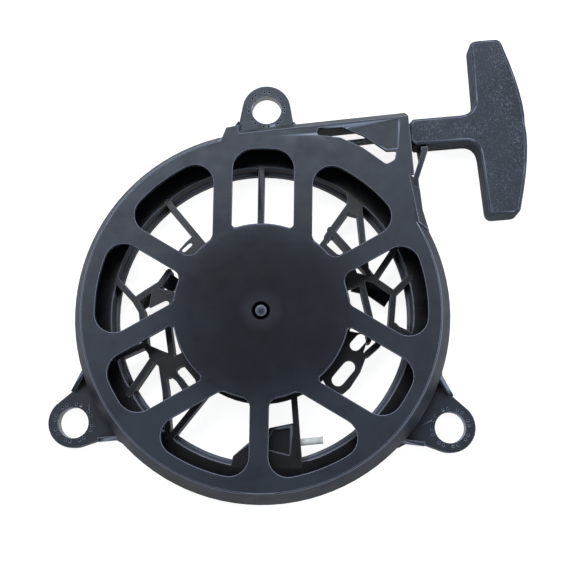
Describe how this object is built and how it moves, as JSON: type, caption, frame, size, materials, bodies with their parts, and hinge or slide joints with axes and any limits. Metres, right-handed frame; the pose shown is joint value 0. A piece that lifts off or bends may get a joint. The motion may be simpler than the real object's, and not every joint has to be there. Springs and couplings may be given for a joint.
{
  "type": "recoil starter",
  "caption": "Pull-rope recoil starter for a small engine: ventilated round cover with bolting lugs, rope pulley, dogs, mainspring and T grip.",
  "frame": {"origin": "crankshaft axis on the mounting plane of the lugs, at the flat end of the retaining screw", "axes": "+Z out of the front of the cover, +Y to the upper lug, +X to the side where the rope leaves"},
  "size_m": [0.2541, 0.2515, 0.0353],
  "materials": {
    "cover_plastic": "satin moulded dark grey",
    "pulley_plastic": "satin moulded charcoal",
    "grip_plastic": "fine-grained moulded dark grey",
    "guide_nylon": "smooth black nylon",
    "rope": "braided off-white polyester",
    "bright_steel": "bright rolled steel",
    "zinc_plate": "zinc plated steel",
    "spring_steel": "oiled blue-grey spring steel"
  },
  "bodies": {
    "root": {"cover": "cover_plastic", "lug_sleeve_top": "bright_steel", "lug_sleeve_left": "bright_steel", "lug_sleeve_right": "bright_steel", "rope_guide": "guide_nylon", "mainspring": "spring_steel", "retaining_screw": "zinc_plate", "thrust_washer": "bright_steel", "friction_spring": "spring_steel"},
    "pulley": {"pulley": "pulley_plastic", "rope_winding": "rope", "rope_tail": "rope", "rope_knot": "rope"},
    "dog_plate": {"dog_plate": "zinc_plate"},
    "dog_a": {"dog_a": "zinc_plate", "dog_spring_a": "spring_steel"},
    "dog_b": {"dog_b": "zinc_plate", "dog_spring_b": "spring_steel"},
    "grip": {"grip": "grip_plastic", "grip_washer": "zinc_plate", "grip_knot": "rope", "grip_plug": "grip_plastic", "rope_run": "rope"}
  },
  "joints": [
    {"name": "pulley_spin", "type": "hinge", "parent": "root", "child": "pulley", "pos_m": [0, 0, 0.012], "axis": [0, 0, -1], "range_deg": [0, 720], "stiffness_Nm_per_rad": 0.03, "springref_deg": -458.37, "deforming": ["mainspring", "rope_winding"]},
    {"name": "grip_pull", "type": "slide", "parent": "root", "child": "grip", "axis": [0.9954, 0.0958, 0], "range_m": [0, 1.0825], "deforming": ["rope_run"]},
    {"name": "dog_plate_turn", "type": "hinge", "parent": "pulley", "child": "dog_plate", "pos_m": [0, 0, 0.0056], "axis": [0, 0, 1], "range_deg": [0, 30], "stiffness_Nm_per_rad": 0.01, "springref_deg": -17.19},
    {"name": "dog_a_swing", "type": "hinge", "parent": "pulley", "child": "dog_a", "pos_m": [0.02537, 0.00924, 0.0089], "axis": [0, 0, 1], "range_deg": [0, 30]},
    {"name": "dog_b_swing", "type": "hinge", "parent": "pulley", "child": "dog_b", "pos_m": [-0.02537, -0.00924, 0.0089], "axis": [0, 0, 1], "range_deg": [0, 30]}
  ],
  "couplings": [
    {"joint": "grip_pull", "follows": "pulley_spin", "m_per_rad": 0.0861},
    {"joint": "dog_a_swing", "follows": "dog_plate_turn", "ratio": 1},
    {"joint": "dog_b_swing", "follows": "dog_plate_turn", "ratio": 1}
  ]
}
